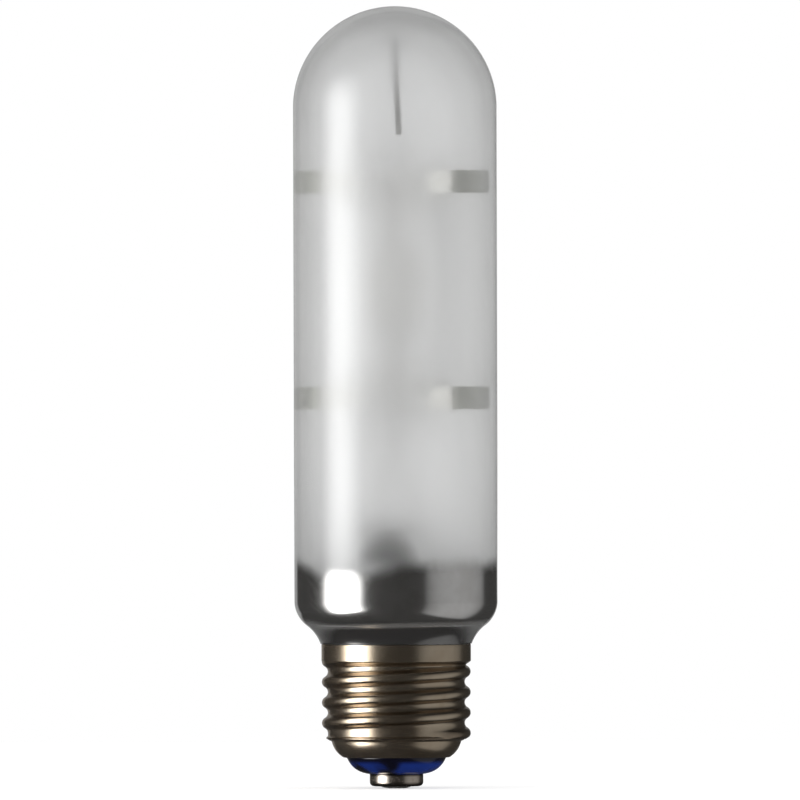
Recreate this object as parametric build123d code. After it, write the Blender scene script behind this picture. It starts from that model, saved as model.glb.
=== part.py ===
"""Tubular metal halide bulb with a screw cap, built as separate pieces.

Millimetres, +Z up along the lamp axis, the front of the lamp faces -Y.
The origin is the centre of the solder land at the lower end of the cap.
"""
import math
import os

from build123d import *

os.makedirs("parts", exist_ok=True)

# Overall sizes
lamp_length = 138.2
light_centre_height = 88.0
bulb_diameter = 36.0
bulb_wall = 1.1

# Screw shell of the cap
thread_crest_diameter = 26.3
thread_root_diameter = 24.2
thread_pitch = 3.629
thread_crest_width = 0.5
thread_base_width = 2.8
thread_rounding = 0.3
thread_root_cover = 0.2
thread_start_height = 3.65
thread_start_angle = -61.5
thread_fade = 0.1
shell_sheet = 0.3
shell_height = 20.05
collar_height = 2.9
collar_step = 0.7
collar_rise = 0.06
foot_height = 3.25
foot_bend_height = 2.8
foot_bend_inset = 0.65
foot_inset = 2.7
foot_bulge = 0.35
mouth_inset = 3.25

# Insulator, contact and solder
insulator_drop = 2.9
insulator_rise = 3.6
insulator_bulge = 0.62
insulator_ledge = 0.55
insulator_bore = 2.8
contact_diameter = 9.5
contact_height = 2.2
contact_sheet = 0.4
contact_corner = 0.8
eyelet_diameter = 2.4
solder_drop = 0.35
solder_land_diameter = 3.0
solder_diameter = 5.8
solder_depth = 1.6

# Outer bulb
shoulder_radius = 5.4
flare_radius = 7.0
flare_end_angle = 20.0
inner_flare_angle = 35.0
seat_overhang = 0.15
seat_width = 0.6
seat_slope = 1.5
neck_depth = 10.0
inner_neck_drop = 1.0

# Cement and fits
cement_gap = 0.6
cement_height = 7.5
fit_gap = 0.05
weld_gap = 0.02

# Stem
stem_diameter = 10.4
stem_wall = 1.0
flare_height = 5.0
flare_knee = 1.5
stem_bore_top = 34.0
press_start = 38.0
press_top = 44.0
press_thickness = 3.6
exhaust_diameter = 3.2
exhaust_wall = 0.5
exhaust_tip_drop = 1.5
exhaust_taper = 2.5
exhaust_port = 1.2

# Leads through the stem
lead_diameter = 1.0
lead_spacing = 5.6
lead_foot = 22.0
lead_rise = 6.0
contact_wire_diameter = 0.6
shell_wire_diameter = 0.44
wire_bend = 0.8
weld_drop = 2.2
weld_diameter = 1.8
weld_hole = 0.7

# Frame wire
frame_diameter = 1.0
frame_overlap = 3.5
frame_leg_top = 52.0
frame_post_foot = 58.0
frame_bend = 3.5
bow_rear_rise = 5.5
bow_top_rise = 12.4
bow_top_reach = 3.0
bow_front_rise = 10.8
bow_front_reach = 9.2
bow_wall_rise = 2.0
bow_wall_gap = 1.0
bow_end_drop = 4.9
bow_end_side = 0.7

# Shroud and its clips
shroud_diameter = 22.0
shroud_wall = 1.3
shroud_length = 44.4
clip_width = 4.0
clip_sheet = 0.3
clip_spacing = 38.1
clip_turn = -8.4
clip_open_angle = 38.5
wing_start_angle = 46.4
wing_end_angle = 78.5

# Arc tube and electrodes
arc_body_diameter = 9.6
arc_straight_length = 7.0
arc_end_height = 4.1
arc_end_bulge = 1.0
arc_wall = 0.8
arc_tube_length = 40.0
leg_diameter = 3.0
leg_bore = 1.0
electrode_spacing = 5.0
coil_diameter = 0.9
coil_length = 2.0
shank_diameter = 0.5
pin_diameter = 0.84
pin_reach = 6.5
seal_diameter = 2.6
seal_height = 1.2
feed_diameter = 0.8
feed_inset = 2.0
feed_overhang = 1.2

# Getter
getter_diameter = 8.4
getter_channel = 1.6
getter_height = 1.4
getter_sheet = 0.3
getter_base = 44.5
getter_side = -1.2
getter_front = 6.8
stay_diameter = 0.6
stay_rise = 3.3

# Radii and levels that follow from the sizes above
bulb_r = bulb_diameter / 2
bulb_inner_r = bulb_r - bulb_wall
crest_r = thread_crest_diameter / 2
root_r = thread_root_diameter / 2
contact_r = contact_diameter / 2
contact_bottom = solder_drop
contact_top = contact_bottom + contact_height
shell_bottom = contact_top + insulator_drop
shell_top = shell_bottom + shell_height
foot_top = shell_bottom + foot_height
collar_bottom = shell_top - collar_height
shell_inner_r = root_r - shell_sheet
collar_r = crest_r + collar_rise
collar_inner_r = collar_r - shell_sheet
mouth_r = root_r - mouth_inset
insulator_top = shell_bottom + insulator_rise
neck_r = shell_inner_r - cement_gap
neck_inner_r = neck_r - bulb_wall
neck_bottom = shell_top - neck_depth
seat_r = collar_r + seat_overhang
seat_level = shell_top + fit_gap
dome_centre = lamp_length - bulb_r
stem_r = stem_diameter / 2
stem_bore_r = stem_r - stem_wall
lead_r = lead_diameter / 2
lead_x = lead_spacing / 2
lead_top = press_top + lead_rise
frame_r = frame_diameter / 2
feed_r = feed_diameter / 2
pin_r = pin_diameter / 2
shroud_r = shroud_diameter / 2
clip_inner_r = shroud_r + fit_gap
clip_outer_r = clip_inner_r + clip_sheet
post_y = clip_outer_r + frame_r + weld_gap


def turned(*edges):
    """Solid of revolution about the lamp axis from outline edges given as radius and height."""
    return revolve(Plane.XZ * make_face(list(edges)), axis=Axis.Z)


def turned_outline(*points):
    """Solid of revolution about the lamp axis from a straight-sided outline."""
    return turned(*Polyline(*points, close=True).edges())


def arc_about(centre, radius, start, end):
    """Arc round a centre between two angles in degrees."""
    spots = []
    for angle in (start, (start + end) / 2, end):
        a = math.radians(angle)
        spots.append((centre[0] + radius * math.cos(a), centre[1] + radius * math.sin(a)))
    return ThreePointArc(*spots)


def bulged_arc(start, end, bulge):
    """Arc between two points, bowed to the left of the way from start to end."""
    dx = end[0] - start[0]
    dy = end[1] - start[1]
    length = math.hypot(dx, dy)
    middle = ((start[0] + end[0]) / 2 - bulge * dy / length, (start[1] + end[1]) / 2 + bulge * dx / length)
    return ThreePointArc(start, middle, end)


def rod(start, end, diameter):
    """Straight round rod between two points."""
    run = Vector(*end) - Vector(*start)
    place = Plane(origin=start, z_dir=run)
    return place * Cylinder(diameter / 2, run.length, align=(Align.CENTER, Align.CENTER, Align.MIN))


def bent_wire(points, diameter, bend):
    """Round wire along straight runs joined by circular bends of one inside line radius."""
    spots = [Vector(*point) for point in points]
    start = spots[0]
    runs = []
    for before, corner, after in zip(spots, spots[1:], spots[2:]):
        along = (corner - before).normalized()
        onward = (after - corner).normalized()
        angle = along.get_angle(onward)
        setback = bend * math.tan(math.radians(angle / 2))
        turn_start = corner - along * setback
        hinge = along.cross(onward).normalized()
        centre = turn_start + hinge.cross(along) * bend
        runs.append(rod(start, turn_start, diameter))
        section = Plane(origin=turn_start, z_dir=along) * Circle(diameter / 2)
        runs.append(revolve(section, axis=Axis(centre, hinge), revolution_arc=angle))
        start = corner + onward * setback
    wire = rod(start, spots[-1], diameter)
    for run in reversed(runs):
        wire = wire + run
    return wire


def round_bar(radius, bottom, top):
    """Upright round bar on the lamp axis."""
    return Pos(0, 0, bottom) * Cylinder(radius, top - bottom, align=(Align.CENTER, Align.CENTER, Align.MIN))


def block(x_range, y_range, z_range):
    """Box between two limits on each axis."""
    size = [high - low for low, high in (x_range, y_range, z_range)]
    low = [limits[0] for limits in (x_range, y_range, z_range)]
    return Pos(*low) * Box(*size, align=(Align.MIN, Align.MIN, Align.MIN))


def bulb_bore_r(height):
    """Inside radius of the bulb at a height in its straight part or its dome."""
    above = max(height - dome_centre, 0)
    return math.sqrt(bulb_inner_r ** 2 - above ** 2)


def around(radius, angle, height):
    """Point at a radius and an angle in degrees from the front, turning towards +X."""
    a = math.radians(angle)
    return (radius * math.sin(a), -radius * math.cos(a), height)


# Outer bulb, one blown piece from dome to neck
def make_outer_bulb():
    end = math.radians(flare_end_angle)
    inset = bulb_r - seat_r
    cosine = (shoulder_radius + flare_radius * math.cos(end) - inset) / (shoulder_radius + flare_radius)
    sweep_angle = math.degrees(math.acos(cosine))
    flare_centre = (seat_r + flare_radius * math.cos(end), seat_level - flare_radius * math.sin(end))
    shoulder_r = bulb_r - shoulder_radius
    rise = (shoulder_radius + flare_radius) * math.sin(math.radians(sweep_angle))
    shoulder_centre = (shoulder_r, flare_centre[1] + rise)
    dome = (0, dome_centre)
    dome_outer = arc_about(dome, bulb_r, 90, 0)
    shoulder_outer = arc_about(shoulder_centre, shoulder_radius, 0, -sweep_angle)
    flare_outer = arc_about(flare_centre, flare_radius, 180 - sweep_angle, 180 - flare_end_angle)
    lower_outline = Polyline(
        (seat_r, seat_level),
        (seat_r - seat_width, seat_level),
        (neck_r, seat_level - seat_slope),
        (neck_r, neck_bottom),
        (neck_inner_r, neck_bottom),
        (neck_inner_r, shell_top - inner_neck_drop),
    )
    flare_inner = arc_about(flare_centre, flare_radius + bulb_wall, 180 - inner_flare_angle, 180 - sweep_angle)
    neck_inner = Line(lower_outline @ 1, flare_inner @ 0)
    shoulder_inner = arc_about(shoulder_centre, shoulder_radius - bulb_wall, -sweep_angle, 0)
    dome_inner = arc_about(dome, bulb_inner_r, 0, 90)
    return turned(
        dome_outer,
        Line(dome_outer @ 1, shoulder_outer @ 0),
        shoulder_outer,
        flare_outer,
        *lower_outline.edges(),
        neck_inner,
        flare_inner,
        shoulder_inner,
        Line(shoulder_inner @ 1, dome_inner @ 0),
        dome_inner,
        Line(dome_inner @ 1, dome_outer @ 0),
    )


# Screw shell, drawn sheet with a rolled thread
def make_thread_ridge():
    """Right-hand ridge that fades in on the step above the foot and runs up into the collar."""
    start = shell_bottom + thread_start_height
    base = thread_base_width / 2
    crest = thread_crest_width / 2
    rise = collar_bottom - collar_step + base - start
    depth = crest_r - root_r
    path = Helix(thread_pitch, rise, root_r, center=(0, 0, start))
    shoulder = (base + crest) / 2
    spread = (base - shoulder) / (depth - thread_rounding) * thread_root_cover
    profile = Polyline(
        (-thread_root_cover, -base - spread),
        (depth - thread_rounding, -shoulder),
        (depth, -crest),
        (depth, crest),
        (depth - thread_rounding, shoulder),
        (-thread_root_cover, base + spread),
        close=True,
    )
    section = Plane(origin=(root_r, 0, start), x_dir=(1, 0, 0), z_dir=(0, -1, 0)) * make_face(profile)
    ridge = sweep(section, path=path, is_frenet=True)
    low = start - 2 * base
    fade = block((root_r - thread_fade, crest_r + 1), (-1, root_r / 2), (low, start + thread_pitch / 2))
    below_step = round_bar(crest_r + 1, low, foot_top)
    return Rot(0, 0, thread_start_angle) * (ridge - fade - below_step)


def make_screw_shell():
    bend_r = root_r - foot_bend_inset
    foot_r = root_r - foot_inset
    bend_z = shell_bottom + foot_bend_height
    floor = shell_bottom + shell_sheet
    foot_outer = bulged_arc((bend_r, bend_z), (foot_r, shell_bottom), foot_bulge)
    foot_inner = bulged_arc((bend_r - shell_sheet, bend_z), (foot_r, floor), foot_bulge)
    outside = Polyline(
        (foot_r, shell_bottom),
        (0, shell_bottom),
        (0, shell_top),
        (collar_r, shell_top),
        (collar_r, collar_bottom),
        (root_r, collar_bottom - collar_step),
        (root_r, foot_top),
        (bend_r, bend_z),
    )
    inside = Polyline(
        (foot_r, floor),
        (mouth_r, floor),
        (mouth_r, shell_bottom - 1),
        (0, shell_bottom - 1),
        (0, shell_top + 1),
        (collar_inner_r, shell_top + 1),
        (collar_inner_r, collar_bottom),
        (shell_inner_r, collar_bottom - collar_step),
        (shell_inner_r, foot_top),
        (bend_r - shell_sheet, bend_z),
    )
    cavity = turned(foot_inner, *inside.edges())
    shell = turned(foot_outer, *outside.edges()) + make_thread_ridge() - cavity
    weld_level = shell_top - weld_drop
    return shell - rod((0, neck_r, weld_level), (0, collar_r + 1, weld_level), weld_hole)


# Glass insulator that fills the foot of the shell and the contact cup
def make_cap_insulator():
    bend_r = root_r - foot_bend_inset - shell_sheet - fit_gap
    foot_r = root_r - foot_inset - fit_gap
    throat_r = mouth_r - fit_gap
    floor = shell_bottom + shell_sheet + fit_gap
    bend_z = shell_bottom + foot_bend_height + fit_gap
    cup_r = contact_r - contact_sheet - fit_gap
    cup_floor = contact_bottom + contact_sheet + fit_gap
    corner = contact_corner - contact_sheet
    belly = bulged_arc((contact_r + insulator_ledge, contact_top), (throat_r, shell_bottom), -insulator_bulge)
    lower = Polyline(
        (insulator_bore / 2, cup_floor),
        (cup_r - corner, cup_floor),
        (cup_r, cup_floor + corner),
        (cup_r, contact_top),
        (contact_r + insulator_ledge, contact_top),
    )
    foot = bulged_arc((bend_r, bend_z), (foot_r, floor), foot_bulge)
    upper = Polyline(
        (bend_r, bend_z),
        (shell_inner_r - fit_gap, foot_top + fit_gap),
        (shell_inner_r - fit_gap, insulator_top),
        (insulator_bore / 2, insulator_top),
        (insulator_bore / 2, cup_floor),
    )
    throat = Polyline((throat_r, shell_bottom), (throat_r, floor), (foot_r, floor))
    return turned(*lower.edges(), belly, *throat.edges(), foot, *upper.edges())


# Contact cup with a rounded corner and an eyelet for the lead
def make_centre_contact():
    eyelet_r = eyelet_diameter / 2
    floor = contact_bottom + contact_sheet
    inner_r = contact_r - contact_sheet
    corner_centre = (contact_r - contact_corner, contact_bottom + contact_corner)
    outer_corner = arc_about(corner_centre, contact_corner, -90, 0)
    inner_corner = arc_about(corner_centre, contact_corner - contact_sheet, 0, -90)
    wall = Polyline(outer_corner @ 1, (contact_r, contact_top), (inner_r, contact_top), inner_corner @ 0)
    base = Polyline(inner_corner @ 1, (eyelet_r, floor), (eyelet_r, contact_bottom), outer_corner @ 0)
    return turned(outer_corner, *wall.edges(), inner_corner, *base.edges())


# Solder in the eyelet, with a flat land that meets the lamp holder
def make_contact_solder():
    land_r = solder_land_diameter / 2
    crown = bulged_arc((land_r, 0), (solder_diameter / 2, contact_bottom), -0.06)
    plug = Polyline(
        (solder_diameter / 2, contact_bottom),
        (eyelet_diameter / 2, contact_bottom),
        (eyelet_diameter / 2, solder_depth),
        (0, solder_depth),
        (0, 0),
        (land_r, 0),
    )
    return turned(crown, *plug.edges())


# Cement ring between neck and shell, with a groove for the shell wire
def make_basing_cement():
    top = seat_level - seat_slope
    bottom = top - cement_height
    ring = turned_outline(
        (neck_r + weld_gap, bottom),
        (shell_inner_r - weld_gap, bottom),
        (shell_inner_r - weld_gap, collar_bottom - collar_step),
        (collar_inner_r - weld_gap, collar_bottom),
        (collar_inner_r - weld_gap, top),
        (neck_r + weld_gap, top),
    )
    half = shell_wire_diameter / 2 + fit_gap
    weld_level = shell_top - weld_drop
    return ring - block((-half, half), (neck_r - 1, collar_r), (bottom - 1, weld_level + half))


# Stem: flare sealed to the neck, tube and flattened press
def make_stem_glass(leads):
    flange_bottom = neck_bottom - stem_wall
    tube_foot = neck_bottom + flare_height
    rim_r = neck_inner_r - fit_gap
    knee_r = stem_r + flare_knee
    knee = neck_bottom + flare_knee
    body = turned_outline(
        (rim_r, neck_bottom),
        (knee_r, knee),
        (stem_r, tube_foot),
        (stem_r, press_top),
        (0, press_top),
        (0, stem_bore_top),
        (stem_bore_r, stem_bore_top),
        (stem_bore_r, tube_foot),
        (knee_r - stem_wall, knee - stem_wall / 2),
        (rim_r - stem_wall, flange_bottom),
        (neck_r, flange_bottom),
        (neck_r, neck_bottom),
    )
    half = press_thickness / 2
    side = Polyline((stem_r, stem_bore_top), (half, press_start), (half, press_top + 1),
                    (stem_r + 1, press_top + 1), (stem_r + 1, stem_bore_top), close=True)
    cutter = extrude(Plane.YZ * make_face(side), stem_r + 1, both=True)
    body = body - cutter - mirror(cutter, about=Plane.XZ)
    port_top = (0, stem_r, press_start)
    body = body - rod((0, 0, stem_bore_top - 0.5), port_top, exhaust_port)
    for lead in leads:
        body = body - lead
    return body


# Exhaust tube inside the stem, closed by its sealed tip
def make_exhaust_tube():
    outer = exhaust_diameter / 2
    inner = outer - exhaust_wall
    tip = neck_bottom - stem_wall - exhaust_tip_drop
    return turned_outline(
        (0, tip),
        (outer, tip + exhaust_taper),
        (outer, stem_bore_top),
        (inner, stem_bore_top),
        (inner, tip + exhaust_taper + exhaust_wall),
        (0, tip + 2 * exhaust_wall),
    )


# Leads through the press, and the thinner wires that carry on to contact and shell
def make_stem_lead(x):
    return Pos(x, 0, 0) * round_bar(lead_r, lead_foot, lead_top)


def make_contact_wire():
    turn_low = insulator_top + wire_bend
    turn_high = neck_bottom - stem_wall - exhaust_tip_drop
    points = [(0, 0, solder_depth), (0, 0, turn_low), (-lead_x, 0, turn_high), (-lead_x, 0, lead_foot)]
    return bent_wire(points, contact_wire_diameter, wire_bend)


def make_shell_wire():
    wire_r = (neck_r + shell_inner_r) / 2
    level = neck_bottom - stem_wall - shell_wire_diameter - wire_bend
    weld_level = shell_top - weld_drop
    points = [
        (lead_x, 0, lead_foot),
        (lead_x, 0, level),
        (0, wire_r, level),
        (0, wire_r, weld_level),
        (0, collar_r - fit_gap, weld_level),
    ]
    return bent_wire(points, shell_wire_diameter, wire_bend / 2)


def make_shell_weld():
    weld_r = weld_diameter / 2
    bead = Pos(0, collar_r - weld_r / 4, shell_top - weld_drop) * Sphere(weld_r)
    return bead - round_bar(collar_r, shell_bottom, shell_top + weld_diameter)


# Frame wire: welded to one lead, up behind the shroud and over to the front wall
def make_frame_wire():
    foot_y = lead_r + frame_r + weld_gap
    end_y = -(bulb_inner_r - frame_r - 2 * fit_gap)
    points = [
        (lead_x, foot_y, lead_top - frame_overlap),
        (lead_x, foot_y, frame_leg_top),
        (0, post_y, frame_post_foot),
        (0, post_y, dome_centre + bow_rear_rise),
        (0, bow_top_reach, dome_centre + bow_top_rise),
        (0, -bow_front_reach, dome_centre + bow_front_rise),
        (bow_end_side / 2, end_y + bow_wall_gap, dome_centre + bow_wall_rise),
        (bow_end_side, end_y, dome_centre - bow_end_drop),
    ]
    return bent_wire(points, frame_diameter, frame_bend)


# Spring clip: a strip round the shroud whose ends turn out into wings on the bulb wall
def make_clip(middle):
    def ring(outer, inner, start, end):
        """Strip of arc between two angles from the front."""
        mid = (start + end) / 2
        flat = [around(radius, angle, 0)[:2] for radius, angle in
                ((inner, start), (inner, mid), (inner, end), (outer, end), (outer, mid), (outer, start))]
        inside = ThreePointArc(flat[0], flat[1], flat[2])
        outside = ThreePointArc(flat[3], flat[4], flat[5])
        return make_face([inside, Line(flat[2], flat[3]), outside, Line(flat[5], flat[0])])

    wing_outer_r = bulb_bore_r(middle + clip_width / 2) - fit_gap
    wing_inner_r = wing_outer_r - clip_sheet
    strip = ring(clip_outer_r, clip_inner_r, clip_turn + clip_open_angle, clip_turn + 360 - clip_open_angle)
    for side in (-1, 1):
        wing_start = clip_turn + side * wing_start_angle
        strip = strip + ring(wing_outer_r, wing_inner_r, wing_start, clip_turn + side * wing_end_angle)
        near = (clip_inner_r + clip_outer_r) / 2
        far = (wing_inner_r + wing_outer_r) / 2
        foot = Vector(*around(near, clip_turn + side * (clip_open_angle + 0.75), 0))
        tip = Vector(*around(far, wing_start + side * 0.5, 0))
        along = (tip - foot).normalized()
        across = Vector(-along.Y, along.X, 0) * (clip_sheet / 2)
        corners = [foot - across, tip - across, tip + across, foot + across]
        strip = strip + make_face(Polyline(*[(c.X, c.Y) for c in corners], close=True))
    return extrude(Pos(0, 0, middle - clip_width / 2) * strip, clip_width)


# Quartz sleeve round the arc tube
def make_shroud_tube():
    bottom = light_centre_height - shroud_length / 2
    tube = round_bar(shroud_r, bottom, bottom + shroud_length)
    return tube - round_bar(shroud_r - shroud_wall, bottom - 1, bottom + shroud_length + 1)


# Ceramic arc tube with a capillary leg at each end
def make_arc_tube():
    body_r = arc_body_diameter / 2
    leg_r = leg_diameter / 2
    bore_r = leg_bore / 2
    straight = arc_straight_length / 2
    end = straight + arc_end_height
    tip = arc_tube_length / 2
    chamber_r = body_r - arc_wall
    chamber_end = end - arc_wall
    outer_end = bulged_arc((body_r, straight), (leg_r, end), -arc_end_bulge)
    chamber_top = bulged_arc((bore_r, chamber_end), (chamber_r, straight), arc_end_bulge)
    leg = Polyline(outer_end @ 1, (leg_r, tip), (bore_r, tip), chamber_top @ 0)
    belly = Polyline(chamber_top @ 1, (chamber_r, 0), (body_r, 0), outer_end @ 0)
    half = turned(outer_end, *leg.edges(), chamber_top, *belly.edges())
    return Pos(0, 0, light_centre_height) * (half + mirror(half, about=Plane.XY))


# Electrode with its coil, shank and the pin that leaves the leg
def make_electrode():
    tip = electrode_spacing / 2
    shank_start = tip + coil_length
    pin_start = arc_straight_length / 2 + arc_end_height
    end = arc_tube_length / 2 + pin_reach
    return turned_outline(
        (0, tip),
        (coil_diameter / 2, tip),
        (coil_diameter / 2, shank_start),
        (shank_diameter / 2, shank_start),
        (shank_diameter / 2, pin_start),
        (pin_r, pin_start),
        (pin_r, end),
        (0, end),
    )


def make_leg_seal():
    tip = arc_tube_length / 2
    return turned_outline((pin_r, tip), (seal_diameter / 2, tip), (pin_r, tip + seal_height))


# Cross wire from the upper pin to the frame
def make_upper_feed():
    level = light_centre_height + arc_tube_length / 2 + pin_reach - feed_inset
    near_x = pin_r + feed_r + weld_gap
    far_x = frame_r + feed_r + weld_gap
    slope = (far_x - near_x) / post_y
    start = (near_x - slope * feed_overhang, -feed_overhang, level)
    end = (far_x + slope * feed_overhang, post_y + feed_overhang, level)
    return rod(start, end, feed_diameter)


# Bent wire from the lower pin to the other lead
def make_lower_feed():
    pin_end = light_centre_height - arc_tube_length / 2 - pin_reach
    side_x = -(pin_r + feed_r + weld_gap)
    lead_y = lead_r + feed_r + weld_gap
    points = [
        (side_x, 0, pin_end + feed_inset),
        (side_x, 0, pin_end - feed_inset),
        (-lead_x, lead_y, lead_top + feed_inset),
        (-lead_x, lead_y, lead_top - frame_overlap),
    ]
    return bent_wire(points, feed_diameter, wire_bend)


# Getter channel, open downwards, on a stay welded to the lead
def make_getter_ring():
    outer = getter_diameter / 2
    inner = outer - getter_channel
    ring = turned_outline(
        (inner, 0),
        (inner, getter_height),
        (outer, getter_height),
        (outer, 0),
        (outer - getter_sheet, 0),
        (outer - getter_sheet, getter_height - getter_sheet),
        (inner + getter_sheet, getter_height - getter_sheet),
        (inner + getter_sheet, 0),
    )
    return Pos(getter_side, -getter_front, getter_base) * ring


def make_getter_stay():
    level = getter_base + getter_height + stay_diameter / 2 + weld_gap
    lead_y = -(lead_r + stay_diameter / 2 + weld_gap)
    inner = getter_diameter / 2 - getter_channel
    points = [
        (getter_side, -getter_front + inner, level),
        (-lead_x, lead_y, level),
        (-lead_x, lead_y, level + stay_rise),
    ]
    return bent_wire(points, stay_diameter, wire_bend)


stem_lead_left = make_stem_lead(-lead_x)
stem_lead_right = make_stem_lead(lead_x)
electrode = make_electrode()
leg_seal = make_leg_seal()
to_centre = Pos(0, 0, light_centre_height)

pieces = {
    "outer_bulb": make_outer_bulb(),
    "screw_shell": make_screw_shell(),
    "cap_insulator": make_cap_insulator(),
    "centre_contact": make_centre_contact(),
    "contact_solder": make_contact_solder(),
    "basing_cement": make_basing_cement(),
    "stem_glass": make_stem_glass([stem_lead_left, stem_lead_right]),
    "exhaust_tube": make_exhaust_tube(),
    "stem_lead_left": stem_lead_left,
    "stem_lead_right": stem_lead_right,
    "contact_wire": make_contact_wire(),
    "shell_wire": make_shell_wire(),
    "shell_weld": make_shell_weld(),
    "frame_wire": make_frame_wire(),
    "upper_clip": make_clip(light_centre_height + clip_spacing / 2),
    "lower_clip": make_clip(light_centre_height - clip_spacing / 2),
    "shroud_tube": make_shroud_tube(),
    "arc_tube": make_arc_tube(),
    "upper_electrode": to_centre * electrode,
    "lower_electrode": to_centre * mirror(electrode, about=Plane.XY),
    "upper_seal": to_centre * leg_seal,
    "lower_seal": to_centre * mirror(leg_seal, about=Plane.XY),
    "upper_feed": make_upper_feed(),
    "lower_feed": make_lower_feed(),
    "getter_ring": make_getter_ring(),
    "getter_stay": make_getter_stay(),
}

for node, piece in pieces.items():
    export_step(piece, f"parts/{node}.step")
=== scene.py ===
"""Looks of the tubular metal halide bulb: its glass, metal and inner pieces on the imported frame.

Sizes are in millimetres in the drawing code and turned to metres where a mesh is made.
"""
import math

import bpy
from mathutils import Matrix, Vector


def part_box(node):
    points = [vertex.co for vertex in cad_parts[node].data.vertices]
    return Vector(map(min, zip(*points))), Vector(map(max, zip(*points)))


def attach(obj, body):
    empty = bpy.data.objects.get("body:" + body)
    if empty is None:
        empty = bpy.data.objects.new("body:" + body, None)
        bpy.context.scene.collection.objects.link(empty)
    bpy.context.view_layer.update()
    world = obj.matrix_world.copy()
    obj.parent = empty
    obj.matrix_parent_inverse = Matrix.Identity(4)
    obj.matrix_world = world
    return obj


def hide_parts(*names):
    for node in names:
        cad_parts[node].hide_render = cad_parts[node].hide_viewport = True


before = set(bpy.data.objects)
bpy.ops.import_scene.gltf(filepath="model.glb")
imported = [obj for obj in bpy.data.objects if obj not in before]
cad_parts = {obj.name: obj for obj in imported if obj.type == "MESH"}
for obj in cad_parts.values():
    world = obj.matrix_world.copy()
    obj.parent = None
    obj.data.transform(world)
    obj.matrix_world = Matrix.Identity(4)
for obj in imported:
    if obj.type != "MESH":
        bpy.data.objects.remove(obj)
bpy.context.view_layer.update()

MM = 0.001
HAIR = 1e-6
SAME_SPOT = 1e-4
LAMP = "root"

# Outer bulb
BULB_R = 18.0
FACET_ROOM = 0.015  # keeps the round wall within the facets of the solid
BULB_WALL = 1.1
DOME_CENTRE = 120.2
SHOULDER_R = 5.4
SHOULDER_CENTRE = (12.6, 33.15)
FLARE_R = 7.0
FLARE_CENTRE = (19.938, 23.156)
SHOULDER_SWEEP = 53.7
FLARE_END = 20.0
INNER_FLARE_END = 35.0
SEAT_R = 13.36
SEAT_LEVEL = 25.55
NECK_R = 11.2
NECK_INNER_R = 10.1
NECK_INNER_TOP = 24.5
NECK_BOTTOM = 15.5
BULB_SIDES = 192
SEAT_ROUND = 0.2
SEAT_FLAT = 0.6
SEAT_DROP = 1.5
WORK_DEPTH = 0.035
WORK_STARTS = (27.0, 31.0)
WORK_ENDS = (38.0, 62.0)

# Mirror film and painted collar glint near the cap, and the painted dark reflection above them
FILM_EDGE = 41.3
FILM_SOFT = 3.4
FILM_WAVER = 2.0
FILM_DIP = 2.0
DIP_LEFT = (-17.5, -12.5)
DIP_RIGHT = (-5.0, 3.5)
NECK_LEVEL = 30.2
NECK_SOFT = 1.6
COLLAR_GLINT_LEVEL = 28.95
COLLAR_GLINT_TILT = 0.02
COLLAR_GLINT_FADE = (0.15, 0.70)
REFLECTION_MOUND_MIDDLE = -1.3
REFLECTION_MOUND_HALF = 5.9
REFLECTION_MOUND_FOOT = 39.5
REFLECTION_MOUND_TALL = 6.4

# Screw cap
SHELL_BOTTOM = 5.45
SHELL_TOP = 25.5
SHELL_SIDES = 256
FOOT_TOP = 8.7
COLLAR_BOTTOM = 22.6
COLLAR_FOOT = 21.9
COLLAR_R = 13.21
CREST_R = 13.15
ROOT_R = 12.1
SHEET = 0.3
PITCH = 3.629
BEAD_LEVEL = 8.9
BEAD_HALF = 0.3
BEAD_RISE = 0.3
THREAD_START = 9.1
THREAD_START_ANGLE = -61.5
THREAD_GROWS = (-0.02, 0.16)  # turns over which the thread fades in
THREAD_RISES = (FOOT_TOP - 0.6, FOOT_TOP + 0.5)
COLLAR_RISES = (COLLAR_FOOT - 0.35, COLLAR_BOTTOM)
MOUTH_R = 8.85
FOOT_R = 9.4
FOOT_BEND = (11.45, 8.25)
FOOT_BULGE = 0.35
GLASS_GAP = 0.05
INSULATOR_TOP = 9.05
CONTACT_R = 4.75
CONTACT_BOTTOM = 0.35
CONTACT_TOP = 2.55
CONTACT_SHEET = 0.4
CONTACT_CORNER = 0.8
EYELET_R = 1.2

# Inner mount
LIGHT_CENTRE = 88.0
SHROUD_R = 11.0
SHROUD_WALL = 1.3
SHROUD_LENGTH = 44.4
CLIP_WIDTH = 4.0
CLIP_SHEET = 0.3
CLIP_SPACING = 38.1
CLIP_TURN = -8.4
CLIP_OPEN = 38.5
WING_START = 46.4
WING_END = 78.5
CLIP_R = 11.2
WING_R = 16.7

# Studio, in metres
SOFTBOX_AWAY = 0.75
CARD_AWAY = 1.6
CARD_CENTRE = 0.07
FLOOR_HALF = 0.4


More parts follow.
